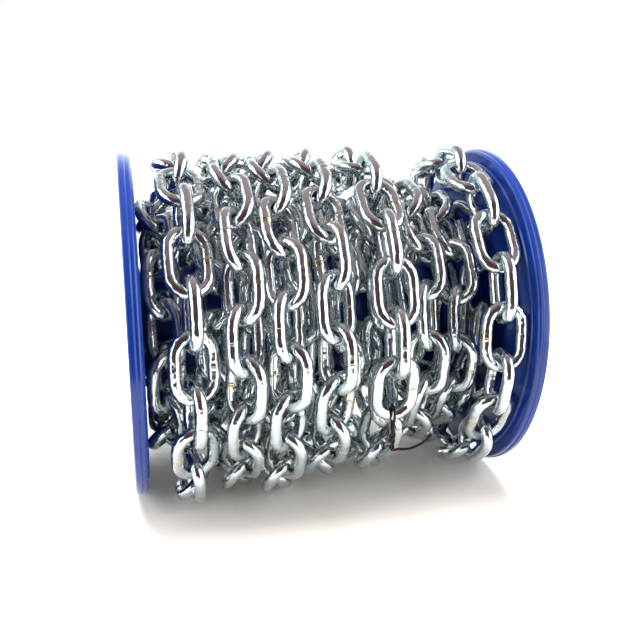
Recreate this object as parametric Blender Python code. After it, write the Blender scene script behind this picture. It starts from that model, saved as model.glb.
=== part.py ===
"""A plastic reel wound with zinc plated short link steel chain, lying on the rims of its two flanges.

The reel's axis is X and +Z is up. The origin is on the floor, midway between the flanges.
The chain is one length, wound from the barrel outwards. Its outer turns are modelled link by link,
and the turns buried under them are one plain core.
"""

import math

import bpy
from mathutils import Matrix, Vector

# Chain: 6 mm wire, 24 mm inside length
WIRE = 0.006
LINK_PITCH = 0.024
LINK_WIDTH = 0.024
LINK_SECTION = 0.0034
LINK_SLACK = 0.00105
LINK_CORNERS = 8

# Reel: two moulded flanges and the barrel between them
FLANGE_RADIUS = 0.088
FLANGE_SIDES = 48
RIM_WIDTH = 0.0068
RIM_WALL = 0.003
BEAD_RISE = 0.0006
WEB = 0.003
STEP_RADIUS = 0.0804
STEP_DEPTH = 0.0009
INSIDE_WIDTH = 0.1833
BARREL_RADIUS = 0.029
BARREL_WALL = 0.003
BORE_RADIUS = 0.0195
SPIGOT_WALL = 0.003
SPIGOT_LENGTH = 0.012
HUB_RISE = 0.0052
HUB_RADIUS = 0.028
SEAM = 0.0003

AXIS_HEIGHT = FLANGE_RADIUS * math.cos(math.pi / FLANGE_SIDES)

# The chain's radius in its outer layer, in the valley beside it and in the layer under both
OUTER_RADIUS = 0.0800
VALLEY_RADIUS = 0.0660
LOW_RADIUS = 0.0589
BURIED_RADIUS = 0.0575

# Each turn of the chain as it crosses the front, back from its outer end: its place along the reel, its
# radius, how far its links lean from flat in degrees (a half turn more or less is the same), how loose each
# link is, how far the turn sags below, and the share of the turn after which it steps over to the next
# one's place, and up or down to its radius
CROSSINGS = (
    (0.0245, 0.0806, 2, 0.0, 0.0, 0.70, 0.70),
    (-0.0042, OUTER_RADIUS, -60, 0.00012, 0.0, 0.70, 0.70),
    (-0.0266, OUTER_RADIUS, -138, 0.0, 0.0070, 0.70, 0.70),
    (-0.0468, OUTER_RADIUS, -225, 0.00048, 0.0015, 0.64, 0.64),
    (-0.0700, OUTER_RADIUS, -168, 0.0, 0.0060, 0.50, 0.60),
    (-0.0814, BURIED_RADIUS, -135, 0.00015, 0.0020, 0.48, 0.48),
    (-0.0588, BURIED_RADIUS, -135, 0.00015, 0.0, 0.48, 0.48),
    (-0.0376, BURIED_RADIUS, -135, 0.00015, 0.0, 0.48, 0.48),
    (-0.0166, BURIED_RADIUS, -135, 0.00015, 0.0, 0.48, 0.48),
    (0.0042, BURIED_RADIUS, -135, 0.00015, 0.0, 0.48, 0.48),
    (0.0245, BURIED_RADIUS, -135, 0.0, 0.0, 0.48, 0.54),
    (0.0451, VALLEY_RADIUS, -135, 0.0, 0.0, 0.42, 0.42),
    (0.0638, LOW_RADIUS, -135, 0.0, 0.0, 0.34, 0.42),
    (0.0786, OUTER_RADIUS, -88, 0.0, 0.0, 0.36, 0.36),
)
END_ANGLE = math.radians(-22.0)
SHIFT_TURNS = 0.16
STEP_TURNS = 0.10
WOBBLE_ACROSS = 0.0004
WOBBLE_OUT = 0.0005
WOBBLE_ROLL = 8.0

# For a stretch below the end link a turn of the lower layer comes up to the outer layer: where it starts,
# is up, leaves and is down again, and its radius there
LOWER_RISE = (9.57, 9.66, 9.94, 10.03)
LOWER_RADIUS = 0.0779

# The turns hang low at the front, and the floor turns their links to the nearest lean of 45 degrees
SAG_ANGLE = math.radians(-62.0)
SAG_SPREAD = math.radians(26.0)
FLOOR_GAP = 0.0006
LINK_REACH = (LINK_WIDTH - WIRE) / 2 * math.sin(math.radians(45)) + LINK_SECTION
PRESS_STARTS = 0.0080

# The chain's stretches, outer end first: each one's node, and the number of turns that it reaches to.
# The end link is a stretch of its own before them, and the core takes the place of the buried ones
END_LINK_TURNS = 0.001
STRETCHES = (
    ("chain_turn_6", 0.65),
    ("chain_turn_5", 1.65),
    ("chain_turn_4", 2.65),
    ("chain_turn_3", 3.65),
    ("chain_turn_2", 4.60),
    ("chain_turn_1", 5.33),
    ("chain_core", 9.68),
    ("chain_turn_6_lower", 9.89),
    ("chain_core", 10.60),
    ("chain_turn_7", 11.36),
    ("chain_turn_8", 12.40),
    ("chain_turn_9", 13.30),
)

# The core's section: its radius under the first turn, the outer turns and each of the low turns, and where
# it steps down between them
CORE_LEFT_RADIUS = 0.0452
CORE_RADIUS = 0.0667
CORE_VALLEY_RADIUS = 0.0548
CORE_LOW_RADIUS = 0.0463
CORE_HIGH = (-0.0718, 0.0330)
CORE_VALLEY_END = 0.0450
CORE_END_GAP = 0.0010
CORE_STEP = 0.002

# The wire that ties the last link down
TIE_WIRE = 0.0013


def clear_scene():
    """Remove whatever the file starts with."""
    for obj in list(bpy.data.objects):
        bpy.data.objects.remove(obj, do_unlink=True)


def material(name, colour, roughness, metallic):
    """A plain Principled material."""
    made = bpy.data.materials.new(name)
    made.use_nodes = True
    shader = made.node_tree.nodes["Principled BSDF"]
    shader.inputs["Base Color"].default_value = (*colour, 1.0)
    shader.inputs["Roughness"].default_value = roughness
    shader.inputs["Metallic"].default_value = metallic
    return made


def mesh_object(name, points, faces, finish):
    """One object from points on the reel's axis, lifted so that the rims stand on the floor."""
    mesh = bpy.data.meshes.new(name)
    mesh.from_pydata([tuple(p) for p in points], [], faces)
    mesh.materials.append(finish)
    obj = bpy.data.objects.new(name, mesh)
    obj.location = (0.0, 0.0, AXIS_HEIGHT)
    bpy.context.scene.collection.objects.link(obj)
    return obj


def turned(name, profile, finish):
    """A closed ring turned about X from a loop of (x, radius) points, with a flat facet underneath."""
    sides, count = FLANGE_SIDES, len(profile)
    points, faces = [], []
    for i in range(sides):
        angle = 2 * math.pi * (i + 0.5) / sides
        points += [(x, r * math.sin(angle), -r * math.cos(angle)) for x, r in profile]
    for i in range(sides):
        here, there = i * count, (i + 1) % sides * count
        for j in range(count):
            k = (j + 1) % count
            faces.append((here + j, there + j, there + k, here + k))
    obj = mesh_object(name, points, faces, finish)
    obj.data.shade_smooth()
    obj.data.set_sharp_from_angle(angle=math.radians(30))
    return obj


def flange(name, side, finish):
    """A moulded flange: web, stepped edge, rim turned outwards with a rounded bead, hub and spigot."""
    rim, inside = FLANGE_RADIUS, BARREL_RADIUS - BARREL_WALL - SEAM
    outline = [
        (-SPIGOT_LENGTH, BORE_RADIUS),
        (-SPIGOT_LENGTH, BORE_RADIUS + SPIGOT_WALL),
        (-SPIGOT_LENGTH + 0.002, inside),
        (0.0, inside),
        (0.0, STEP_RADIUS),
        (STEP_DEPTH, STEP_RADIUS + STEP_DEPTH),
        (STEP_DEPTH, rim - 0.0022),
        (STEP_DEPTH + 0.0016, rim - BEAD_RISE),
        (RIM_WIDTH - 0.0034, rim - BEAD_RISE),
        (RIM_WIDTH - 0.0028, rim),
        (RIM_WIDTH - 0.0012, rim),
        (RIM_WIDTH, rim - 0.0018),
        (RIM_WIDTH, rim - RIM_WALL),
        (WEB + 0.0012, rim - RIM_WALL - 0.0006),
        (WEB, rim - RIM_WALL - 0.0018),
        (WEB, HUB_RADIUS),
        (HUB_RISE, HUB_RADIUS - 0.0006),
        (HUB_RISE, BORE_RADIUS),
    ]
    face = side * INSIDE_WIDTH / 2
    profile = [(face + side * x, r) for x, r in outline]
    return turned(name, profile if side > 0 else profile[::-1], finish)


def tube(name, half_length, outer, inner, finish):
    """A plain tube about X."""
    profile = [(-half_length, inner), (-half_length, outer), (half_length, outer), (half_length, inner)]
    return turned(name, profile, finish)


def wobble(turns, rates, phase):
    """A smooth unevenness between -1 and 1, worked out from a few sine waves."""
    waves = [math.sin(2 * math.pi * rate * turns + phase * (i + 1.7)) for i, rate in enumerate(rates)]
    return sum(waves) / len(waves)


def eased(low, high, value):
    """The share from 0 to 1 that a value has come from low to high, changing smoothly at both."""
    share = min(max((value - low) / (high - low), 0.0), 1.0)
    return share * share * (3 - 2 * share)


def crossing(turns):
    """(x, radius, roll, slack, sag, pressed roll) at a number of turns, as one passes into the next."""
    whole = min(math.floor(turns), len(CROSSINGS) - 1)
    following = min(whole + 1, len(CROSSINGS) - 1)
    here, there = CROSSINGS[whole], CROSSINGS[following]
    over, down = here[5:]
    part_turn = turns - whole
    shift = eased(over - SHIFT_TURNS / 2, over + SHIFT_TURNS / 2, part_turn)
    step = eased(down - STEP_TURNS / 2, down + STEP_TURNS / 2, part_turn)
    pressed = [90 * math.floor(lean / 90) + 45 for lean in (here[2], there[2])]
    shares = (shift, step, shift, shift, shift, shift)
    ends = zip((*here[:5], pressed[0]), (*there[:5], pressed[1]), shares)
    return [a + share * (b - a) for a, b, share in ends]


def winding(turns):
    """(x, radius, roll) of the chain a number of turns back from its outer end."""
    x, radius, roll, _, sag, pressed = crossing(turns)
    start, top, leave, end = LOWER_RISE
    lift = eased(start, top, turns) - eased(leave, end, turns)
    radius += lift * (LOWER_RADIUS - BURIED_RADIUS)
    angle = math.remainder(END_ANGLE + 2 * math.pi * turns, 2 * math.pi)
    radius += sag * math.exp(-(((angle - SAG_ANGLE) / SAG_SPREAD) ** 2))
    x += WOBBLE_ACROSS * wobble(turns, (3.1, 5.3, 1.7), 1.3)
    radius += WOBBLE_OUT * wobble(turns, (4.3, 7.1, 2.3), 0.4)
    roll += WOBBLE_ROLL * wobble(turns, (2.7, 4.9, 1.1), 2.1)
    room = AXIS_HEIGHT - FLOOR_GAP + radius * math.sin(angle)
    roll += (pressed - roll) * eased(-LINK_WIDTH / 2 - PRESS_STARTS, -LINK_REACH, -room)
    if room < LINK_REACH:
        radius = (AXIS_HEIGHT - FLOOR_GAP - LINK_REACH) / -math.sin(angle)
    return x, radius, math.radians(roll)


def path_point(turns):
    """A point of the chain's own line, a number of turns back from its outer end."""
    x, radius, _ = winding(turns)
    angle = END_ANGLE + 2 * math.pi * turns
    return Vector((x, -radius * math.cos(angle), radius * math.sin(angle)))


def next_joint(start, turns):
    """The number of turns at which the chain's line is one link further back from a point."""
    chord = LINK_PITCH - crossing(turns)[3]
    low, high = turns, turns + 0.2
    for _ in range(40):
        middle = (low + high) / 2
        if (path_point(middle) - start).length < chord:
            low = middle
        else:
            high = middle
    return high


def lay_run(turns, last_turn, count):
    """The frames of a run of hooked links, laid from one number of turns until past another.

    It also returns where the next run starts: LINK_SLACK nearer, so that the two runs hang loose.
    """
    frames = []
    while turns < last_turn:
        start = path_point(turns)
        after = next_joint(start, turns)
        roll = winding((turns + after) / 2)[2]
        frames.append(link_frame(start, path_point(after), roll, count + len(frames)))
        turns = after
    radius = winding(turns)[1]
    return frames, turns - LINK_SLACK / (2 * math.pi * radius)


def link_frame(start, end, roll, count):
    """The matrix that lays a link between two joints. Every second link is a quarter turn round."""
    centre = (start + end) / 2
    along = (end - start).normalized()
    out = Vector((0.0, centre.y, centre.z)).normalized()
    across = out.cross(along).normalized()
    out = along.cross(across)
    lean = roll + (math.pi / 2 if count % 2 else 0.0)
    side = across * math.cos(lean) + out * math.sin(lean)
    frame = Matrix((along, side, along.cross(side))).transposed().to_4x4()
    frame.translation = centre
    return frame


def link_shape():
    """A link's points and faces: a square bar bent into a ring of mitred corners."""
    bend = (LINK_WIDTH - WIRE) / 2
    straight = (LINK_PITCH + 2 * WIRE - LINK_WIDTH) / 2
    corner = math.pi / LINK_CORNERS
    points, faces = [], []
    for i in range(LINK_CORNERS):
        angle = corner + 2 * i * corner
        reach = Vector((math.cos(angle), math.sin(angle), 0.0))
        middle = reach * bend / math.cos(corner) + Vector((math.copysign(straight, reach.x), 0.0, 0.0))
        spread = reach * LINK_SECTION / math.cos(corner)
        rise = Vector((0.0, 0.0, LINK_SECTION))
        points += [middle + spread, middle + rise, middle - spread, middle - rise]
    for i in range(LINK_CORNERS):
        here, there = 4 * i, (i + 1) % LINK_CORNERS * 4
        for j in range(4):
            k = (j + 1) % 4
            faces.append((here + j, there + j, there + k, here + k))
    return points, faces


def links_mesh(name, frames, finish):
    """Links that don't touch each other, as one object."""
    shape, sides = link_shape()
    points, faces = [], []
    for frame in frames:
        faces += [tuple(len(points) + i for i in side) for side in sides]
        points += [frame @ p for p in shape]
    return mesh_object(name, points, faces, finish)


def chain_run(name, frames, finish):
    """A run of chain: its odd links, joined by a Boolean where they hook into its even links, a hidden guide."""
    run = links_mesh(name, frames[::2], finish)
    if len(frames) > 1:
        others = links_mesh(name + "_even_links", frames[1::2], finish)
        others.hide_render = True
        others.display_type = "WIRE"
        join = run.modifiers.new("even_links", "BOOLEAN")
        join.operation = "UNION"
        join.object = others
    return run


def core(finish):
    """The turns buried under the others, as one plain mass round the barrel."""
    end = INSIDE_WIDTH / 2 - CORE_END_GAP
    left, right = CORE_HIGH
    inner = BARREL_RADIUS + SEAM
    profile = [
        (-end, inner),
        (-end, CORE_LEFT_RADIUS),
        (left, CORE_LEFT_RADIUS),
        (left + CORE_STEP, CORE_RADIUS),
        (right - CORE_STEP, CORE_RADIUS),
        (right, CORE_VALLEY_RADIUS),
        (CORE_VALLEY_END - CORE_STEP, CORE_VALLEY_RADIUS),
        (CORE_VALLEY_END, CORE_LOW_RADIUS),
        (end, CORE_LOW_RADIUS),
        (end, inner),
    ]
    turned("chain_core", profile, finish)


def lay_chain():
    """The link frames of the end link and of each stretch: (node, frames)."""
    frames, turns = lay_run(0.0, END_LINK_TURNS, 0)
    laid = [("chain_end_link", frames)]
    count = 1
    for name, last in STRETCHES:
        frames, turns = lay_run(turns, last, count)
        laid.append((name, frames))
        count += len(frames)
    return laid


def tie_wire(end_link, finish):
    """A soft iron wire: a loop round the end link's lower bend, twisted below it, with one end led aside."""
    twist_top, twist_length, twist_radius, steps = -0.0235, 0.0105, 0.00095, 8
    shares = [i / steps for i in range(steps + 1)]
    loop = [
        (-0.0180, 0.0012, 0.0052),
        (-0.0140, 0.0010, 0.0050),
        (-0.0113, 0.0005, 0.0030),
        (-0.0106, 0.0, 0.0),
        (-0.0113, -0.0005, -0.0030),
        (-0.0145, -0.0010, -0.0050),
        (-0.0185, -0.0012, -0.0042),
    ]
    aside = [
        (-0.0340, -0.0035, 0.0030),
        (-0.0335, -0.0085, 0.0046),
        (-0.0305, -0.0145, 0.0056),
        (-0.0265, -0.0195, 0.0052),
    ]
    near = [twist_point(twist_top, twist_length, twist_radius, share, 0.0) for share in shares]
    far = [twist_point(twist_top, twist_length, twist_radius, share, math.pi) for share in shares]
    route = near[::-1] + loop + far + aside
    points = [end_link @ Vector(p) for p in route]
    line = bpy.data.curves.new("tie_wire", "CURVE")
    line.dimensions = "3D"
    line.bevel_depth = TIE_WIRE / 2
    line.bevel_resolution = 0
    line.use_fill_caps = True
    spline = line.splines.new("POLY")
    smooth = smooth_line(points, 2)
    spline.points.add(len(smooth) - 1)
    for place, point in zip(spline.points, smooth):
        place.co = (*point, 1.0)
    line.materials.append(finish)
    obj = bpy.data.objects.new("tie_wire", line)
    obj.location = (0.0, 0.0, AXIS_HEIGHT)
    bpy.context.scene.collection.objects.link(obj)


def twist_point(top, length, radius, share, phase):
    """A point of one of the two twisted strands, in the end link's frame."""
    angle = phase + 3 * math.pi * share
    return (top - length * share, radius * math.sin(angle), 0.0022 + radius * math.cos(angle))


def smooth_line(points, steps):
    """Points along a Catmull-Rom curve through the given ones."""
    ends = [points[0] * 2 - points[1], *points, points[-1] * 2 - points[-2]]
    found = []
    for a, b, c, d in zip(ends, ends[1:], ends[2:], ends[3:]):
        for i in range(steps):
            t = i / steps
            bend = (2 * a - 5 * b + 4 * c - d) * t**2 + (3 * b - a - 3 * c + d) * t**3
            found.append((2 * b + (c - a) * t + bend) / 2)
    return found + [points[-1]]


def main():
    clear_scene()
    blue = material("blue_plastic", (0.012, 0.035, 0.30), 0.25, 0.0)
    zinc = material("zinc_plate", (0.75, 0.78, 0.80), 0.18, 1.0)
    iron = material("iron_wire", (0.05, 0.035, 0.03), 0.6, 0.8)
    flange("flange_left", -1, blue)
    flange("flange_right", 1, blue)
    tube("barrel", INSIDE_WIDTH / 2 - SEAM, BARREL_RADIUS, BARREL_RADIUS - BARREL_WALL, blue)
    laid = lay_chain()
    core(zinc)
    for name, frames in laid:
        if name != "chain_core":
            chain_run(name, frames, zinc)
    tie_wire(laid[0][1][0], iron)


main()
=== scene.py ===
# %% [markdown]
# # A reel of short link chain
#
# The object is a moulded plastic reel, wound with bright zinc plated chain and laid on the rims of
# its two flanges. The solid model fixes every size, so the first thing to do is to load it as a
# frame. Each surface made below then takes the place of one of its solids.

# %% Load the frame
import math

import bpy
import numpy as np
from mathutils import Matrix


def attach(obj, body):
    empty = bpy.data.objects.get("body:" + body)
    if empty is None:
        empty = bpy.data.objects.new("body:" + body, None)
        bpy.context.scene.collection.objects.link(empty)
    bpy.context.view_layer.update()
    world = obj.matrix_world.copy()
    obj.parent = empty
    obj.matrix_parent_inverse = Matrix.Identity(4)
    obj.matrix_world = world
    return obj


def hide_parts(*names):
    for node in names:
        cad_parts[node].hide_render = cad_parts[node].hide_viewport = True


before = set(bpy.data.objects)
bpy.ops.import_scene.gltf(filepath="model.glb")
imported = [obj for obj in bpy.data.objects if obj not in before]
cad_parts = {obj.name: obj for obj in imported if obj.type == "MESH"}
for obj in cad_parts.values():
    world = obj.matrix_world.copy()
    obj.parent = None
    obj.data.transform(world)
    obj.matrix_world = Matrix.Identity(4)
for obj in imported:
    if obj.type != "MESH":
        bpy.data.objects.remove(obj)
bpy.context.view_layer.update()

print("solid nodes:", ", ".join(sorted(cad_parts)))

# %% [markdown]
# ## The camera
#
# A camera is a position, two angles and a lens. These came from the photograph: the two flanges are
# equal circles on one axis, so the two ellipses that they make in the picture fix where the camera
# stood. Blender turns a camera about X first and about Z afterwards, which is what a photographer
# does too: tilt the camera, then swing it.

# %% Place the camera
CAMERA_PLACE = (-0.0966, -0.4339, 0.1996)
CAMERA_DOWN = math.radians(14.552)
CAMERA_SWING = math.radians(13.293)
LENS_MM = 46.66
SENSOR_MM = 36.0

camera_data = bpy.data.cameras.new("camera")
camera_data.lens = LENS_MM
camera_data.sensor_width = SENSOR_MM
camera_data.clip_start = 0.01
camera = bpy.data.objects.new("camera", camera_data)
camera.location = CAMERA_PLACE
camera.rotation_euler = (math.pi / 2 - CAMERA_DOWN, 0.0, -CAMERA_SWING)
bpy.context.scene.collection.objects.link(camera)
bpy.context.scene.camera = camera
print("camera stands", round(1000 * math.hypot(*CAMERA_PLACE)), "mm from the middle of the reel's foot")

# %% [markdown]
# ## Colours and nodes
#
# Colour pickers and photographs give sRGB values, and shaders want linear ones. One function does
# that for every colour here. A second one adds a shader node, so that a material below reads as a
# list of its nodes: plain settings go on the node, and each input is given a value or is linked to
# the output of an earlier node.

# %% Colour and node helpers
def linear(hex_colour):
    """The linear RGBA of an sRGB hex colour: the sRGB curve is undone for each channel."""
    channels = [int(hex_colour[i : i + 2], 16) / 255 for i in (1, 3, 5)]
    return (*(c / 12.92 if c <= 0.04045 else ((c + 0.055) / 1.055) ** 2.4 for c in channels), 1.0)


def add_node(tree, kind, inputs=None, **settings):
    """Add one node. An input that is itself an output socket is linked, and any other is set."""
    made = tree.nodes.new(kind)
    for name, value in settings.items():
        setattr(made, name, value)
    for name, value in (inputs or {}).items():
        if isinstance(value, bpy.types.NodeSocket):
            tree.links.new(value, made.inputs[name])
        else:
            made.inputs[name].default_value = value
    return made


def new_material(name):
    """An empty node material, its node tree and its output node."""
    made = bpy.data.materials.new(name)
    made.use_nodes = True
    made.node_tree.nodes.clear()
    return made, made.node_tree, add_node(made.node_tree, "ShaderNodeOutputMaterial")


MM = 0.001
print("helpers ready; white is", [round(c, 3) for c in linear("#FFFFFF")])

# %% [markdown]
# ## Zinc plate
#
# The chain is mild steel, electroplated with a few microns of zinc and passivated. Plating copies
# the drawn wire under it, so the surface is mirror bright with a slight waviness, and the clear
# passivate gives it faint blue and straw tints that drift over a few millimetres. It is a metal, so
# the tint is in the base colour. The weld in one side of each link keeps a straw-coloured heat mark,
# stronger on some links: the mesh carries it as an attribute, and the material reads that.

# %% Zinc plated steel
TINT_MM = 11.0
WAVINESS_MM = 3.4
PITTING_MM = 0.9


def zinc_plated_steel():
    """Bright zinc electroplate on drawn steel wire."""
    made, tree, output = new_material("zinc_plated_steel")
    place = add_node(tree, "ShaderNodeTexCoord").outputs["Object"]
    drift = add_node(
        tree, "ShaderNodeTexNoise", {"Vector": place, "Scale": 1 / (TINT_MM * MM), "Detail": 2.0}
    )
    tint = add_node(tree, "ShaderNodeMix", {"Factor": drift.outputs["Fac"]}, data_type="RGBA")
    tint.inputs[6].default_value = linear("#BACBD8")
    tint.inputs[7].default_value = linear("#D1D3CD")
    weld = add_node(tree, "ShaderNodeAttribute", attribute_name="weld")
    heat = add_node(tree, "ShaderNodeMix", {"Factor": weld.outputs["Fac"]}, data_type="RGBA")
    tree.links.new(tint.outputs[2], heat.inputs[6])
    heat.inputs[7].default_value = linear("#BEB38F")
    pits = add_node(
        tree, "ShaderNodeTexNoise", {"Vector": place, "Scale": 1 / (PITTING_MM * MM), "Detail": 3.0}
    )
    dull = add_node(
        tree,
        "ShaderNodeMapRange",
        {"Value": pits.outputs["Fac"], "From Min": 0.35, "From Max": 0.75, "To Min": 0.10, "To Max": 0.26},
    )
    waves = add_node(
        tree, "ShaderNodeTexNoise", {"Vector": place, "Scale": 1 / (WAVINESS_MM * MM), "Detail": 1.0}
    )
    wavy = add_node(
        tree,
        "ShaderNodeBump",
        {"Height": waves.outputs["Fac"], "Strength": 1.0, "Distance": 0.38 * MM},
    )
    pitted = add_node(
        tree,
        "ShaderNodeBump",
        {
            "Height": pits.outputs["Fac"],
            "Strength": 0.4,
            "Distance": 0.05 * MM,
            "Normal": wavy.outputs["Normal"],
        },
    )
    surface = add_node(
        tree,
        "ShaderNodeBsdfPrincipled",
        {
            "Base Color": heat.outputs[2],
            "Roughness": dull.outputs["Result"],
            "Normal": pitted.outputs["Normal"],
            "Metallic": 1.0,
        },
    )
    tree.links.new(surface.outputs["BSDF"], output.inputs["Surface"])
    return made


ZINC = zinc_plated_steel()
print("material:", ZINC.name)

# %% [markdown]
# ## Moulded plastic
#
# The reel is injection moulded polypropylene, coloured right through. Its mould was polished, so it
# shines, but it shrinks a little unevenly as it cools and the shine wavers. The colour is almost
# even. A rough patch here and there comes from handling.

# %% Blue polypropylene
SHRINK_MM = 14.0
SCUFF_MM = 2.2


def moulded_polypropylene():
    """Glossy blue injection moulded polypropylene."""
    made, tree, output = new_material("moulded_polypropylene")
    place = add_node(tree, "ShaderNodeTexCoord").outputs["Object"]
    shrink = add_node(
        tree, "ShaderNodeTexNoise", {"Vector": place, "Scale": 1 / (SHRINK_MM * MM), "Detail": 2.0}
    )
    scuff = add_node(
        tree, "ShaderNodeTexNoise", {"Vector": place, "Scale": 1 / (SCUFF_MM * MM), "Detail": 4.0}
    )
    shade = add_node(tree, "ShaderNodeMix", {"Factor": shrink.outputs["Fac"]}, data_type="RGBA")
    shade.inputs[6].default_value = linear("#072A76")
    shade.inputs[7].default_value = linear("#0A378B")
    gloss = add_node(
        tree,
        "ShaderNodeMapRange",
        {"Value": scuff.outputs["Fac"], "From Min": 0.45, "From Max": 0.85, "To Min": 0.2, "To Max": 0.28},
    )
    wavy = add_node(
        tree,
        "ShaderNodeBump",
        {"Height": shrink.outputs["Fac"], "Strength": 0.3, "Distance": 0.25 * MM},
    )
    surface = add_node(
        tree,
        "ShaderNodeBsdfPrincipled",
        {
            "Base Color": shade.outputs[2],
            "Roughness": gloss.outputs["Result"],
            "Normal": wavy.outputs["Normal"],
            "IOR": 1.49,
        },
    )
    tree.links.new(surface.outputs["BSDF"], output.inputs["Surface"])
    return made


PLASTIC = moulded_polypropylene()
print("material:", PLASTIC.name)

# %% [markdown]
# ## Annealed tie wire
#
# Tie wire is soft iron, annealed until it is nearly black and left bare, so it rusts in brown
# specks. Rust isn't a metal, so the same speckle that colours it also turns the metallic value down.

# %% Annealed iron wire
RUST_MM = 0.7


def annealed_iron_wire():
    """Black annealed iron wire with brown specks of rust."""
    made, tree, output = new_material("annealed_iron_wire")
    place = add_node(tree, "ShaderNodeTexCoord").outputs["Object"]
    specks = add_node(
        tree, "ShaderNodeTexNoise", {"Vector": place, "Scale": 1 / (RUST_MM * MM), "Detail": 3.0}
    )
    rust = add_node(
        tree,
        "ShaderNodeMapRange",
        {"Value": specks.outputs["Fac"], "From Min": 0.42, "From Max": 0.6, "To Min": 0.0, "To Max": 1.0},
    )
    bare = add_node(
        tree,
        "ShaderNodeMapRange",
        {"Value": specks.outputs["Fac"], "From Min": 0.42, "From Max": 0.6, "To Min": 0.8, "To Max": 0.1},
    )
    colour = add_node(tree, "ShaderNodeMix", {"Factor": rust.outputs["Result"]}, data_type="RGBA")
    colour.inputs[6].default_value = linear("#15100F")
    colour.inputs[7].default_value = linear("#2E1812")
    rough = add_node(
        tree,
        "ShaderNodeBump",
        {"Height": specks.outputs["Fac"], "Strength": 0.5, "Distance": 0.06 * MM},
    )
    surface = add_node(
        tree,
        "ShaderNodeBsdfPrincipled",
        {
            "Base Color": colour.outputs[2],
            "Metallic": bare.outputs["Result"],
            "Normal": rough.outputs["Normal"],
            "Roughness": 0.5,
        },
    )
    tree.links.new(surface.outputs["BSDF"], output.inputs["Surface"])
    return made


IRON = annealed_iron_wire()
print("material:", IRON.name)

# %% [markdown]
# ## Meshes from grids
#
# Every surface below is a grid: rows of points that follow one parameter, and places along a row
# that follow another. Joining each point to the next one in its row and in the next row gives the
# faces, all with numpy and no loop over points. A finished piece keeps its place in its points,
# rides on the model's one body, and says which solids it stands for.

# %% Grid and piece helpers
def grid_faces(rows, columns):
    """Quads of a grid that closes on itself both ways, as (rows * columns, 4) point numbers."""
    row, column = np.meshgrid(np.arange(rows), np.arange(columns), indexing="ij")
    next_row, next_column = (row + 1) % rows, (column + 1) % columns
    corners = (row * columns + column, row * columns + next_column)
    corners += (next_row * columns + next_column, next_row * columns + column)
    return np.stack(corners, axis=-1).reshape(-1, 4)


def piece(name, points, quads, finish, nodes):
    """A smooth mesh object that rides on the body and stands for some of the model's solids."""
    mesh = bpy.data.meshes.new(name)
    mesh.vertices.add(len(points))
    mesh.vertices.foreach_set("co", np.asarray(points, np.float32).ravel())
    mesh.loops.add(quads.size)
    mesh.loops.foreach_set("vertex_index", quads.astype(np.int32).ravel())
    mesh.polygons.add(len(quads))
    mesh.polygons.foreach_set("loop_start", np.arange(0, quads.size, 4, dtype=np.int32))
    mesh.update(calc_edges=True)
    mesh.shade_smooth()
    mesh.materials.append(finish)
    made = bpy.data.objects.new(name, mesh)
    bpy.context.scene.collection.objects.link(made)
    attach(made, "root")
    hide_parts(*nodes)
    print(f"{name}: {len(quads)} quads, stands for {', '.join(nodes)}")
    return made


# %% [markdown]
# ## Turned surfaces
#
# A moulded flange is a solid of revolution. Its section is drawn as a few corners, each with its
# own small radius, because a mould has no sharp edges and the light catches on the rounded ones. A
# corner becomes an arc between its two tangent points. Just outside each arc there is one more
# point, which keeps the smooth shading of the arc from spreading over the flat next to it.

# %% Sections and lathe
def rounded(corners, radii, steps=5, margin=0.0002):
    """A closed section with each corner turned into an arc.

    The tangent points lie radius / tan(half the corner's angle) from the corner. The arc between
    them is a spherical interpolation of the two radii that reach them from its centre.
    """
    corners, radii = np.array(corners, float), np.array(radii, float)[:, None]
    back = np.roll(corners, 1, axis=0) - corners
    ahead = np.roll(corners, -1, axis=0) - corners
    back /= np.linalg.norm(back, axis=1, keepdims=True)
    ahead /= np.linalg.norm(ahead, axis=1, keepdims=True)
    half = np.arccos(np.clip((back * ahead).sum(axis=1, keepdims=True), -1, 1)) / 2
    middle = back + ahead
    middle /= np.linalg.norm(middle, axis=1, keepdims=True)
    reach = radii / np.tan(half)
    centre = corners + middle * radii / np.sin(half)
    first, last = corners + back * reach - centre, corners + ahead * reach - centre
    turn = (math.pi - 2 * half)[:, None, :]
    share = np.linspace(0, 1, steps + 1)[None, :, None]
    arc = (np.sin((1 - share) * turn) * first[:, None] + np.sin(share * turn) * last[:, None]) / np.sin(turn)
    arc += centre[:, None]
    before = (corners + back * (reach + margin))[:, None]
    after = (corners + ahead * (reach + margin))[:, None]
    return np.concatenate([before, arc, after], axis=1).reshape(-1, 2)


def turned(section, sides):
    """Points of a section of (x, radius) turned about the reel's axis: each radius runs round a circle."""
    angle = np.linspace(0, 2 * math.pi, sides, endpoint=False)[:, None]
    x = np.broadcast_to(section[None, :, 0], (sides, len(section)))
    y = -section[None, :, 1] * np.cos(angle)
    z = section[None, :, 1] * np.sin(angle) + AXIS_HEIGHT
    return np.stack([x, y, z], axis=-1).reshape(-1, 3)


# %% [markdown]
# ## The flanges
#
# Each flange is a thin web with its rim turned outwards, a low step where the web meets the rim, a
# bead along the rim's free edge, and a hub with a spigot that plugs into the barrel. The sizes are
# the solid's own. The solid has 48 flat sides and stands on one of them, so a true circle of the
# same height has a slightly smaller radius.

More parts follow.
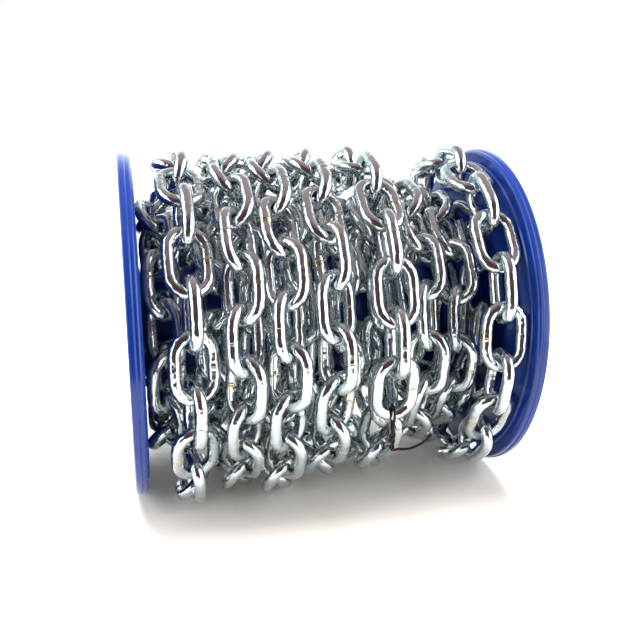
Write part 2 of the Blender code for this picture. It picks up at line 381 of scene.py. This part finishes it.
# %% Make the flanges
FLANGE_RADIUS = 0.088
FLANGE_SIDES = 48
RIM_WIDTH = 0.0068
RIM_WALL = 0.003
BEAD_RISE = 0.0006
WEB = 0.003
STEP_RADIUS = 0.0804
STEP_DEPTH = 0.0009
INSIDE_WIDTH = 0.1833
BARREL_RADIUS = 0.029
BARREL_WALL = 0.003
BORE_RADIUS = 0.0195
SPIGOT_WALL = 0.003
SPIGOT_LENGTH = 0.012
HUB_RISE = 0.0052
HUB_RADIUS = 0.028
SEAM = 0.0003
AXIS_HEIGHT = FLANGE_RADIUS * math.cos(math.pi / FLANGE_SIDES)
TURNED_SIDES = 192


def flange_section():
    """The corners of a flange's section, as (distance out from the inner face, radius), and their radii."""
    rim, inside = AXIS_HEIGHT, BARREL_RADIUS - BARREL_WALL - SEAM
    corners = [
        (-SPIGOT_LENGTH, BORE_RADIUS, 0.0004),
        (-SPIGOT_LENGTH, BORE_RADIUS + SPIGOT_WALL, 0.0006),
        (-SPIGOT_LENGTH + 0.0020, inside, 0.0006),
        (0.0, inside, 0.0004),
        (0.0, STEP_RADIUS, 0.0004),
        (STEP_DEPTH, STEP_RADIUS + STEP_DEPTH, 0.0004),
        (STEP_DEPTH, rim - BEAD_RISE, 0.0014),
        (RIM_WIDTH - 0.0034, rim - BEAD_RISE, 0.0003),
        (RIM_WIDTH - 0.0028, rim, 0.0003),
        (RIM_WIDTH, rim, 0.0010),
        (RIM_WIDTH, rim - RIM_WALL, 0.0008),
        (WEB, rim - RIM_WALL - 0.0005, 0.0015),
        (WEB, HUB_RADIUS, 0.0008),
        (HUB_RISE, HUB_RADIUS - 0.0006, 0.0006),
        (HUB_RISE, BORE_RADIUS, 0.0008),
    ]
    corners = np.array(corners)
    return rounded(corners[:, :2], corners[:, 2])


def flange(name, side, node):
    """One flange: the section moved out to the inner face and turned, and mirrored on the left."""
    section = flange_section()
    section[:, 0] = side * (INSIDE_WIDTH / 2 + section[:, 0])
    points = turned(section if side > 0 else section[::-1], TURNED_SIDES)
    quads = grid_faces(TURNED_SIDES, len(section))[:, ::-1]
    return piece(name, points, quads, PLASTIC, [node])


flange("left_flange", -1, "flange_left")
flange("right_flange", 1, "flange_right")

# %% [markdown]
# ## The barrel
#
# The barrel is a plain tube, almost hidden under the chain. Its ends show only through the gaps
# beside the flanges, so it needs nothing more than a rounded section.

# %% Make the barrel
barrel_end = INSIDE_WIDTH / 2 - SEAM
barrel_corners = [
    (-barrel_end, BARREL_RADIUS - BARREL_WALL),
    (-barrel_end, BARREL_RADIUS),
    (barrel_end, BARREL_RADIUS),
    (barrel_end, BARREL_RADIUS - BARREL_WALL),
]
barrel_section = rounded(barrel_corners, [0.0004] * 4)
piece(
    "barrel_tube",
    turned(barrel_section, TURNED_SIDES),
    grid_faces(TURNED_SIDES, len(barrel_section))[:, ::-1],
    PLASTIC,
    ["barrel"],
)

# %% [markdown]
# ## How the chain is wound
#
# A chain doesn't bend. Each link is straight and rigid, hooks into the next one, and lies a quarter
# turn round from it, so a wound chain is a polygon. The winding is described by one number, the
# turns back from the outer end, and a table with a row for each time that the chain crosses the
# front: its place along the reel, its radius and lean, how loose its links are and how far it sags
# below. A turn keeps its row's values until the back of the reel and then passes smoothly to the
# next row's. Five outer turns go to the left flange, and the layer under them comes back and shows in
# the valley on the right. For a few links it comes up beside the chain's tied end. One more outer turn
# follows, then a buried one beside the right flange, and the innermost layer lies on the barrel.

# %% The winding
WIRE = 0.006
LINK_PITCH = 0.024
LINK_WIDTH = 0.024
LINK_SECTION = 0.0034
LINK_SLACK = 0.00105
OUTER_RADIUS = 0.0800
VALLEY_RADIUS = 0.0660
LOW_RADIUS = 0.0589
BURIED_RADIUS = 0.0575
INNER_RADIUS = 0.0388
CROSSINGS = [
    (0.0245, 0.0806, 2, 0.0, 0.0, 0.70, 0.70),
    (-0.0042, OUTER_RADIUS, -60, 0.00012, 0.0, 0.70, 0.70),
    (-0.0266, OUTER_RADIUS, -138, 0.0, 0.0070, 0.70, 0.70),
    (-0.0468, OUTER_RADIUS, -225, 0.00048, 0.0015, 0.64, 0.64),
    (-0.0700, OUTER_RADIUS, -168, 0.0, 0.0060, 0.50, 0.60),
    (-0.0814, BURIED_RADIUS, -135, 0.00015, 0.0020, 0.48, 0.48),
    (-0.0588, BURIED_RADIUS, -135, 0.00015, 0.0, 0.48, 0.48),
    (-0.0376, BURIED_RADIUS, -135, 0.00015, 0.0, 0.48, 0.48),
    (-0.0166, BURIED_RADIUS, -135, 0.00015, 0.0, 0.48, 0.48),
    (0.0042, BURIED_RADIUS, -135, 0.00015, 0.0, 0.48, 0.48),
    (0.0245, BURIED_RADIUS, -135, 0.0, 0.0, 0.48, 0.54),
    (0.0451, VALLEY_RADIUS, -135, 0.0, 0.0, 0.42, 0.42),
    (0.0638, LOW_RADIUS, -135, 0.0, 0.0, 0.34, 0.42),
    (0.0786, OUTER_RADIUS, -88, 0.0, 0.0, 0.50, 0.50),
]
CROSSINGS += [(0.0800, 0.0530, -135, 0.0, 0.0, 0.50, 0.50)]
CROSSINGS += [(x, INNER_RADIUS, -45, 0.0, 0.0, 0.50, 0.50) for x in np.linspace(0.069, -0.080, 7)]
CROSSINGS = np.array(CROSSINGS)
LAST_TURN = 21.9
END_ANGLE = math.radians(-22.0)
SHIFT_TURNS = 0.16
STEP_TURNS = 0.10
WOBBLE_ACROSS = 0.0004
WOBBLE_OUT = 0.0005
WOBBLE_ROLL = 8.0
LOWER_RISE = (9.57, 9.66, 9.94, 10.03)
LOWER_RADIUS = 0.0779
SAG_ANGLE = math.radians(-62.0)
SAG_SPREAD = math.radians(26.0)
FLOOR_GAP = 0.0006
LINK_REACH = (LINK_WIDTH - WIRE) / 2 * math.sin(math.radians(45)) + LINK_SECTION
PRESS_STARTS = 0.0080


def wobble(turns, rates, phase):
    """A smooth unevenness between -1 and 1: the mean of a few sine waves of the turns."""
    rates = np.array(rates)
    phases = phase * (np.arange(len(rates)) + 1.7)
    return np.sin(2 * math.pi * np.multiply.outer(turns, rates) + phases).mean(-1)


def eased(low, high, value):
    """The smooth step 3 s^2 - 2 s^3 of the share s that a value has come from low to high."""
    share = np.clip((value - low) / (high - low), 0, 1)
    return share * share * (3 - 2 * share)


def crossing(turns):
    """x, radius, lean, slack, sag and pressed lean: a mix of this crossing's row and the next one's.

    Along the reel they change after the row's first share of the turn, and the radius after its second.
    The pressed lean is the odd multiple of 45 degrees nearest above a multiple of 90.
    """
    turns = np.asarray(turns, float)
    whole = np.clip(np.floor(turns).astype(int), 0, len(CROSSINGS) - 1)
    here, there = CROSSINGS[whole], CROSSINGS[np.minimum(whole + 1, len(CROSSINGS) - 1)]
    shift = eased(here[..., 5] - SHIFT_TURNS / 2, here[..., 5] + SHIFT_TURNS / 2, turns - whole)
    step = eased(here[..., 6] - STEP_TURNS / 2, here[..., 6] + STEP_TURNS / 2, turns - whole)
    shares = np.stack([shift, step, shift, shift, shift, shift])
    pressed = (90 * np.floor(row[..., 2] / 90) + 45 for row in (here, there))
    rows = zip((here, there), pressed)
    here, there = (np.stack([*np.moveaxis(row, -1, 0)[:5], lean]) for row, lean in rows)
    return here + shares * (there - here)


def winding(turns):
    """x, radius and roll of the chain: its crossing's values, with sag, wobble and the floor's press."""
    x, radius, roll, _, sag, pressed = crossing(turns)
    start, top, leave, end = LOWER_RISE
    radius = radius + (eased(start, top, turns) - eased(leave, end, turns)) * (LOWER_RADIUS - BURIED_RADIUS)
    angle = np.remainder(END_ANGLE + 2 * math.pi * np.asarray(turns, float) + math.pi, 2 * math.pi) - math.pi
    radius = radius + sag * np.exp(-(((angle - SAG_ANGLE) / SAG_SPREAD) ** 2))
    x = x + WOBBLE_ACROSS * wobble(turns, (3.1, 5.3, 1.7), 1.3)
    radius = radius + WOBBLE_OUT * wobble(turns, (4.3, 7.1, 2.3), 0.4)
    roll = roll + WOBBLE_ROLL * wobble(turns, (2.7, 4.9, 1.1), 2.1)
    room = AXIS_HEIGHT - FLOOR_GAP + radius * np.sin(angle)
    roll = roll + (pressed - roll) * eased(-LINK_WIDTH / 2 - PRESS_STARTS, -LINK_REACH, -room)
    lowest = (AXIS_HEIGHT - FLOOR_GAP - LINK_REACH) / np.maximum(-np.sin(angle), 0.1)
    return x, np.where(room < LINK_REACH, lowest, radius), np.radians(roll)


def path_point(turns):
    """Points of the chain's line about the reel's axis: x, and the radius run round by the turns' angle."""
    x, radius, _ = winding(turns)
    angle = END_ANGLE + 2 * math.pi * np.asarray(turns, float)
    return np.stack([x, -radius * np.cos(angle), radius * np.sin(angle)], axis=-1)


print("the chain's line ends at radius", round(float(winding(LAST_TURN)[1]) * 1000, 1), "mm, on the barrel")

# %% [markdown]
# ## Laying the links
#
# Two neighbouring links meet where their inner ends touch, so along the chain these joints are one
# inside length apart, measured straight across, less a little where the chain is loose. Each joint
# is found from the last one by halving an interval, as the solids do it. The chain is laid in the
# model's stretches. The buried ones are the turns that the model has as one plain mass.

# %% Lay the chain
STRETCHES = (
    ("chain_end_link", 0.001),
    ("chain_turn_6", 0.65),
    ("chain_turn_5", 1.65),
    ("chain_turn_4", 2.65),
    ("chain_turn_3", 3.65),
    ("chain_turn_2", 4.60),
    ("chain_turn_1", 5.33),
    ("chain_core", 9.68),
    ("chain_turn_6_lower", 9.89),
    ("chain_core", 10.60),
    ("chain_turn_7", 11.36),
    ("chain_turn_8", 12.40),
    ("chain_turn_9", 13.30),
    ("chain_core", LAST_TURN),
)
LONGEST_STEP_TURNS = 0.2
HALVINGS = 30


def next_joint(start, turns):
    """The turns at which the line is one link further back from a point."""
    chord = LINK_PITCH - crossing(turns)[3]
    low, high = turns, turns + LONGEST_STEP_TURNS
    for _ in range(HALVINGS):
        middle = (low + high) / 2
        if np.linalg.norm(path_point(middle) - start) < chord:
            low = middle
        else:
            high = middle
    return high


def lay_chain():
    """The turns of every link's two ends, from the outer end inwards, with the name of the link's stretch."""
    ends, names, turns = [], [], 0.0
    for name, last_turn in STRETCHES:
        while turns < last_turn:
            after = next_joint(path_point(turns), turns)
            ends.append((turns, after))
            names.append(name)
            turns = after
        turns -= LINK_SLACK / (2 * math.pi * float(winding(turns)[1]))
    return np.array(ends), np.array(names)


link_ends, link_names = lay_chain()
print(len(link_ends), "links,", int((link_names == "chain_core").sum()), "of them buried")

# %% [markdown]
# ## Where each link sits
#
# A link's own axes follow from its two joints: along the chain, out from the reel, and across. The
# lean turns the last two about the first. Every second link is leant a quarter turn more. Real
# links are also a little loose in each other, so each gets a small random lean and tilt of its own.

# %% Find the links' axes
LOOSE_LEAN = math.radians(4.0)
LOOSE_TILT = math.radians(1.5)
chance = np.random.default_rng(6)


def unit(vectors):
    """The vectors, each divided by its own length."""
    return vectors / np.linalg.norm(vectors, axis=-1, keepdims=True)


def link_axes():
    """Centres and axes of all links: columns along, side and up of each 3 by 3 matrix."""
    start, end = path_point(link_ends[:, 0]), path_point(link_ends[:, 1])
    centre, count = (start + end) / 2, len(link_ends)
    along = unit(end - start)
    outward = unit(centre * (0.0, 1.0, 1.0))
    across = unit(np.cross(outward, along))
    outward = np.cross(along, across)
    lean = winding(link_ends.mean(axis=1))[2] + math.pi / 2 * (np.arange(count) % 2)
    lean += LOOSE_LEAN * chance.uniform(-1, 1, count)
    side = across * np.cos(lean)[:, None] + outward * np.sin(lean)[:, None]
    up = np.cross(along, side)
    tilt = LOOSE_TILT * chance.uniform(-1, 1, (count, 1))
    along = unit(along + up * np.tan(tilt))
    return centre + (0.0, 0.0, AXIS_HEIGHT), np.stack([along, side, np.cross(along, side)], axis=-1)


link_centres, link_turns = link_axes()
print("links reach", round(float(link_centres[:, 2].max()) * 1000, 1), "mm up at their centres")

# %% [markdown]
# ## One link
#
# A link is round wire, bent into an oval with straight sides and welded in the middle of one of
# them. It is a tube along a closed line: two half circles and two straights. Rings of points stand
# square to that line. Extra rings at the weld let it swell by about a seventh of a millimetre on both
# sides of a fine notch, which is what makes the weld catch the light.

# %% The link's surface
BEND_RADIUS = (LINK_WIDTH - WIRE) / 2
STRAIGHT = LINK_PITCH + 2 * WIRE - LINK_WIDTH
WELD_RINGS = (
    (-0.0040, 1.0, 0.0),
    (-0.0020, 1.0, 0.3),
    (-0.0009, 1.0, 0.6),
    (-0.0005, 1.05, 0.8),
    (-0.0002, 1.04, 1.0),
    (0.0, 0.95, 1.0),
    (0.0002, 1.04, 1.0),
    (0.0005, 1.05, 0.8),
    (0.0009, 1.0, 0.6),
    (0.0020, 1.0, 0.3),
    (0.0040, 1.0, 0.0),
)


def link_surface(bend_rings, sides, weld):
    """(points, weld shares, quads) of one link about its own centre, in its own axes.

    A ring's centre runs round half a circle at each end, and its points are
    centre + wire radius * (cos(a) * outwards + sin(a) * up), for angles a round the wire.
    """
    bend = np.linspace(-math.pi / 2, math.pi / 2, bend_rings)
    outwards = np.stack([np.cos(bend), np.sin(bend), np.zeros(bend_rings)], axis=-1)
    right = outwards * BEND_RADIUS + (STRAIGHT / 2, 0.0, 0.0)
    weld_place, weld_size, weld_mark = np.array(WELD_RINGS if weld else [(0.0, 1.0, 0.0)]).T
    top = np.stack([-weld_place, np.full(len(weld_place), BEND_RADIUS), np.zeros(len(weld_place))], axis=-1)
    side = np.broadcast_to((0.0, 1.0, 0.0), top.shape)
    middle = np.array([(0.0, -BEND_RADIUS, 0.0)])
    centres = np.concatenate([right, top, -right, middle])
    normals = np.concatenate([outwards, side, -outwards, -side[:1]])
    plain = np.ones(bend_rings)
    sizes = np.concatenate([plain, weld_size, plain, [1.0]]) * WIRE / 2
    marks = np.concatenate([0 * plain, weld_mark, 0 * plain, [0.0]])
    angle = np.linspace(0, 2 * math.pi, sides, endpoint=False)[None, :, None]
    up = np.array((0.0, 0.0, 1.0))
    points = centres[:, None] + sizes[:, None, None] * (np.cos(angle) * normals[:, None] + np.sin(angle) * up)
    return points.reshape(-1, 3), np.repeat(marks, sides), grid_faces(len(centres), sides)


sample = link_surface(9, 14, True)
link_length = float(np.ptp(sample[0][:, 0]))
print("one link has", len(sample[2]), "faces and is", round(link_length * 1000, 1), "mm long")

# %% [markdown]
# ## The chain's stretches
#
# The same surface is laid at every link in one array multiplication. One mesh is made for each
# stretch that the model has as a solid, and one for all the buried links, which take the place of
# the plain core. Buried links show only in the gaps, so they have fewer faces and no weld. Half of
# the links have their weld on the other side, because links are hooked in either way round.

# %% Make the chain
SHOWN_RINGS, SHOWN_SIDES = 9, 14
BURIED_RINGS, BURIED_SIDES = 6, 10


def lay_links(name, chosen, rings, sides, weld, nodes):
    """One mesh of the chosen links. Each point is its link's centre plus its axes times its own place."""
    points, marks, quads = link_surface(rings, sides, weld)
    flip = np.where(chance.random(chosen.sum()) < 0.5, -1.0, 1.0)[:, None, None]
    own = points[None] * np.concatenate([flip, flip, np.ones_like(flip)], axis=2)
    laid = np.einsum("nij,npj->npi", link_turns[chosen], own) + link_centres[chosen][:, None]
    shift = len(points) * np.arange(chosen.sum())[:, None, None]
    made = piece(name, laid.reshape(-1, 3), (quads[None] + shift).reshape(-1, 4), ZINC, nodes)
    heat = made.data.attributes.new("weld", "FLOAT", "POINT")
    heat.data.foreach_set("value", np.outer(chance.random(chosen.sum()), marks).ravel().astype(np.float32))
    return made


for stretch in dict.fromkeys(name for name, _ in STRETCHES if name != "chain_core"):
    chosen_links = link_names == stretch
    lay_links(stretch.replace("chain_", "links_"), chosen_links, SHOWN_RINGS, SHOWN_SIDES, True, [stretch])
lay_links("links_buried", link_names == "chain_core", BURIED_RINGS, BURIED_SIDES, False, ["chain_core"])

# %% [markdown]
# ## The tie wire
#
# The chain's last link is tied down with a doubled piece of soft wire. It goes through the link's
# lower bend, its two strands are twisted together below, and one end is bent aside. The route is a
# short list of points in the link's own axes, the same as the solid's. A smooth curve through them
# carries a circle, whose frame is passed on from point to point so that it never spins.

# %% Make the tie wire
TIE_WIRE = 0.0013
TIE_SIDES = 10
END_RING_REACH, END_RING_SIZE = 0.3, 0.6
TWIST_TOP, TWIST_LENGTH, TWIST_RADIUS, TWIST_STEPS = -0.0235, 0.0105, 0.00095, 8


def twist_points(phase):
    """Points of one of the two twisted strands: a helix of one and a half turns about the chain's line."""
    share = np.linspace(0, 1, TWIST_STEPS + 1)
    angle = phase + 3 * math.pi * share
    across, up = TWIST_RADIUS * np.sin(angle), 0.0022 + TWIST_RADIUS * np.cos(angle)
    return np.stack([TWIST_TOP - TWIST_LENGTH * share, across, up], axis=-1)


def tie_route():
    """The wire's points in the end link's axes: strand, loop, strand, and the end led aside."""
    loop = [
        (-0.0180, 0.0012, 0.0052),
        (-0.0140, 0.0010, 0.0050),
        (-0.0113, 0.0005, 0.0030),
        (-0.0106, 0.0, 0.0),
        (-0.0113, -0.0005, -0.0030),
        (-0.0145, -0.0010, -0.0050),
        (-0.0185, -0.0012, -0.0042),
    ]
    aside = [
        (-0.0340, -0.0035, 0.0030),
        (-0.0335, -0.0085, 0.0046),
        (-0.0305, -0.0145, 0.0056),
        (-0.0265, -0.0195, 0.0052),
    ]
    return np.concatenate([twist_points(0.0)[::-1], loop, twist_points(math.pi), aside])


def smooth_line(points, steps):
    """A Catmull-Rom curve: between two points, a cubic whose slopes are those of their neighbours."""
    ends = np.concatenate([[2 * points[0] - points[1]], points, [2 * points[-1] - points[-2]]])
    a, b, c, d = (ends[i : len(ends) - 3 + i][:, None] for i in range(4))
    t = np.linspace(0, 1, steps, endpoint=False)[None, :, None]
    curve = (2 * b + (c - a) * t + (2 * a - 5 * b + 4 * c - d) * t**2 + (3 * b - a - 3 * c + d) * t**3) / 2
    return np.concatenate([curve.reshape(-1, 3), points[-1:]])


def carried_frames(line):
    """Two unit vectors square to a line at each point, each pair the last one laid flat on the new plane."""
    tangent = unit(np.gradient(line, axis=0))
    first = np.empty_like(line)
    first[0] = unit(np.cross(tangent[0], (0.3, 1.0, 0.2)))
    for i in range(1, len(line)):
        first[i] = unit(first[i - 1] - tangent[i] * (first[i - 1] @ tangent[i]))
    return first, np.cross(tangent, first)


def wire_surface(line, radius, sides):
    """Rings of points round a line, with one smaller ring a little past each end."""
    first, second = carried_frames(line)
    shrink = np.ones(len(line))
    tangent = unit(np.gradient(line, axis=0))
    line = np.concatenate([line[:1], line, line[-1:]])
    line[0] -= tangent[0] * radius * END_RING_REACH
    line[-1] += tangent[-1] * radius * END_RING_REACH
    first = np.concatenate([first[:1], first, first[-1:]])
    second = np.concatenate([second[:1], second, second[-1:]])
    shrink = np.concatenate([[END_RING_SIZE], shrink, [END_RING_SIZE]])[:, None, None]
    angle = np.linspace(0, 2 * math.pi, sides, endpoint=False)[None, :, None]
    circle = np.cos(angle) * first[:, None] + np.sin(angle) * second[:, None]
    return (line[:, None] + radius * shrink * circle).reshape(-1, 3)


end_link = int(np.flatnonzero(link_names == "chain_end_link")[0])
tie_line = smooth_line(tie_route(), 4) @ link_turns[end_link].T + link_centres[end_link]
tie_points = wire_surface(tie_line, TIE_WIRE / 2, TIE_SIDES)
tie_quads = grid_faces(len(tie_points) // TIE_SIDES, TIE_SIDES)[:-TIE_SIDES]
tie = piece("tie", tie_points, tie_quads, IRON, ["tie_wire"])

# %% [markdown]
# ## The studio
#
# Chrome and bright zinc have hardly any colour of their own: what they show is the room. The
# photograph's room is a white table between big white lamps on the left and the right, under a
# dark ceiling, with the dark space round the photographer in front. Each wire mirrors that as a
# dark stripe between two white ones, with grey edges. The world's light is worked out from the
# direction alone: a soft-edged band from the front, over the top and down to the back, nearly black
# in front, brown overhead and grey behind. On both sides of it are the white lamps, which end a
# little behind the reel, and grey behind them. The table ends a little in front of the reel, so that
# wires facing forward see the dark floor beyond it. Seen directly, the backdrop is white.

# %% Light the reel
TABLE_FRONT = -0.29
TABLE_REACH = 2.2
BAND_HALF_WIDTH = math.radians(40.0)
BAND_EDGE = 0.05
LAMPS_END = 0.3
LAMPS_EDGE = 0.2
LIGHT_STRENGTH = 4.0


def studio_world():
    """White lamps on both sides of a dark band of directions that goes over the top."""
    world = bpy.data.worlds.new("studio")
    world.use_nodes = True
    tree = world.node_tree
    tree.nodes.clear()
    direction = add_node(tree, "ShaderNodeTexCoord").outputs["Generated"]
    swung = add_node(
        tree, "ShaderNodeVectorRotate", {"Vector": direction, "Angle": CAMERA_SWING}, rotation_type="Z_AXIS"
    )
    parts = add_node(tree, "ShaderNodeSeparateXYZ", {"Vector": swung.outputs["Vector"]})
    width = add_node(tree, "ShaderNodeMath", {0: parts.outputs["X"]}, operation="ABSOLUTE")
    middle = math.sin(BAND_HALF_WIDTH)
    sides = add_node(
        tree,
        "ShaderNodeMapRange",
        {"Value": width.outputs[0], "From Min": middle - BAND_EDGE, "From Max": middle + BAND_EDGE},
        interpolation_type="SMOOTHSTEP",
    )
    forward = add_node(tree, "ShaderNodeMath", {0: parts.outputs["Y"], 1: -1.0}, operation="MULTIPLY")
    rise = add_node(
        tree, "ShaderNodeMath", {0: parts.outputs["Z"], 1: forward.outputs[0]}, operation="ARCTAN2"
    )
    share = add_node(tree, "ShaderNodeMath", {0: rise.outputs[0], 1: math.pi}, operation="DIVIDE")
    band = add_node(tree, "ShaderNodeValToRGB", {"Fac": share.outputs[0]})
    stops = (
        (0.0, "#2A1D1E"),
        (0.22, "#2E2122"),
        (0.42, "#5C4F4F"),
        (0.72, "#6A5F5C"),
        (0.86, "#A3AAAD"),
    )
    ramp = band.color_ramp
    for _ in stops[2:]:
        ramp.elements.new(0.5)
    for stop, (position, colour) in zip(ramp.elements, stops):
        stop.position, stop.color = position, linear(colour)
    behind = add_node(
        tree,
        "ShaderNodeMapRange",
        {"Value": parts.outputs["Y"], "From Min": LAMPS_END, "From Max": LAMPS_END + LAMPS_EDGE},
    )
    lamps = add_node(tree, "ShaderNodeMix", {"Factor": behind.outputs["Result"]}, data_type="RGBA")
    lamps.inputs[6].default_value = linear("#FFFFFF")
    lamps.inputs[7].default_value = linear("#7C868B")
    room = add_node(tree, "ShaderNodeMix", {"Factor": sides.outputs["Result"]}, data_type="RGBA")
    tree.links.new(band.outputs["Color"], room.inputs[6])
    tree.links.new(lamps.outputs[2], room.inputs[7])
    light = add_node(tree, "ShaderNodeBackground", {"Color": room.outputs[2], "Strength": LIGHT_STRENGTH})
    backdrop = add_node(tree, "ShaderNodeBackground", {"Color": linear("#FFFFFF"), "Strength": 1.0})
    seen = add_node(tree, "ShaderNodeLightPath").outputs["Is Camera Ray"]
    mixed = add_node(tree, "ShaderNodeMixShader", {0: seen, 1: light.outputs[0], 2: backdrop.outputs[0]})
    add_node(tree, "ShaderNodeOutputWorld", {"Surface": mixed.outputs[0]})
    return world


def white_table():
    """The matt white table top, a flat stage piece."""
    corners = [
        (-TABLE_REACH, TABLE_FRONT, 0.0),
        (TABLE_REACH, TABLE_FRONT, 0.0),
        (TABLE_REACH, TABLE_REACH, 0.0),
        (-TABLE_REACH, TABLE_REACH, 0.0),
    ]
    mesh = bpy.data.meshes.new("table")
    mesh.from_pydata(corners, [], [(0, 1, 2, 3)])
    made, tree, output = new_material("white_table_paper")
    paper = add_node(
        tree,
        "ShaderNodeBsdfPrincipled",
        {
            "Base Color": linear("#F1EEE8"),
            "Roughness": 0.7,
            "Emission Color": linear("#FFF4E6"),
            "Emission Strength": 0.05,
        },
    )
    tree.links.new(paper.outputs["BSDF"], output.inputs["Surface"])
    mesh.materials.append(made)
    table = bpy.data.objects.new("table", mesh)
    bpy.context.scene.collection.objects.link(table)
    return table


def soft_light(name, place, aim, size, power, colour):
    """A square area light that faces a point."""
    data = bpy.data.lights.new(name, "AREA")
    data.size = size
    data.energy = power
    data.color = linear(colour)[:3]
    light = bpy.data.objects.new(name, data)
    light.location = place
    away = np.array(place) - np.array(aim)
    swing, rise = math.atan2(away[1], away[0]), math.atan2(away[2], math.hypot(away[0], away[1]))
    light.rotation_euler = (math.pi / 2 - rise, 0.0, swing + math.pi / 2)
    bpy.context.scene.collection.objects.link(light)
    return light


bpy.context.scene.world = studio_world()
white_table()
overhead = soft_light("overhead_light", (0.0, 0.12, 1.25), (0.0, 0.0, 0.05), 1.1, 30.0, "#FFFFFF")
overhead.visible_glossy = False
bpy.context.scene.view_settings.view_transform = "Standard"
print("the table ends", round(-TABLE_FRONT * 1000), "mm in front of the reel's axis")
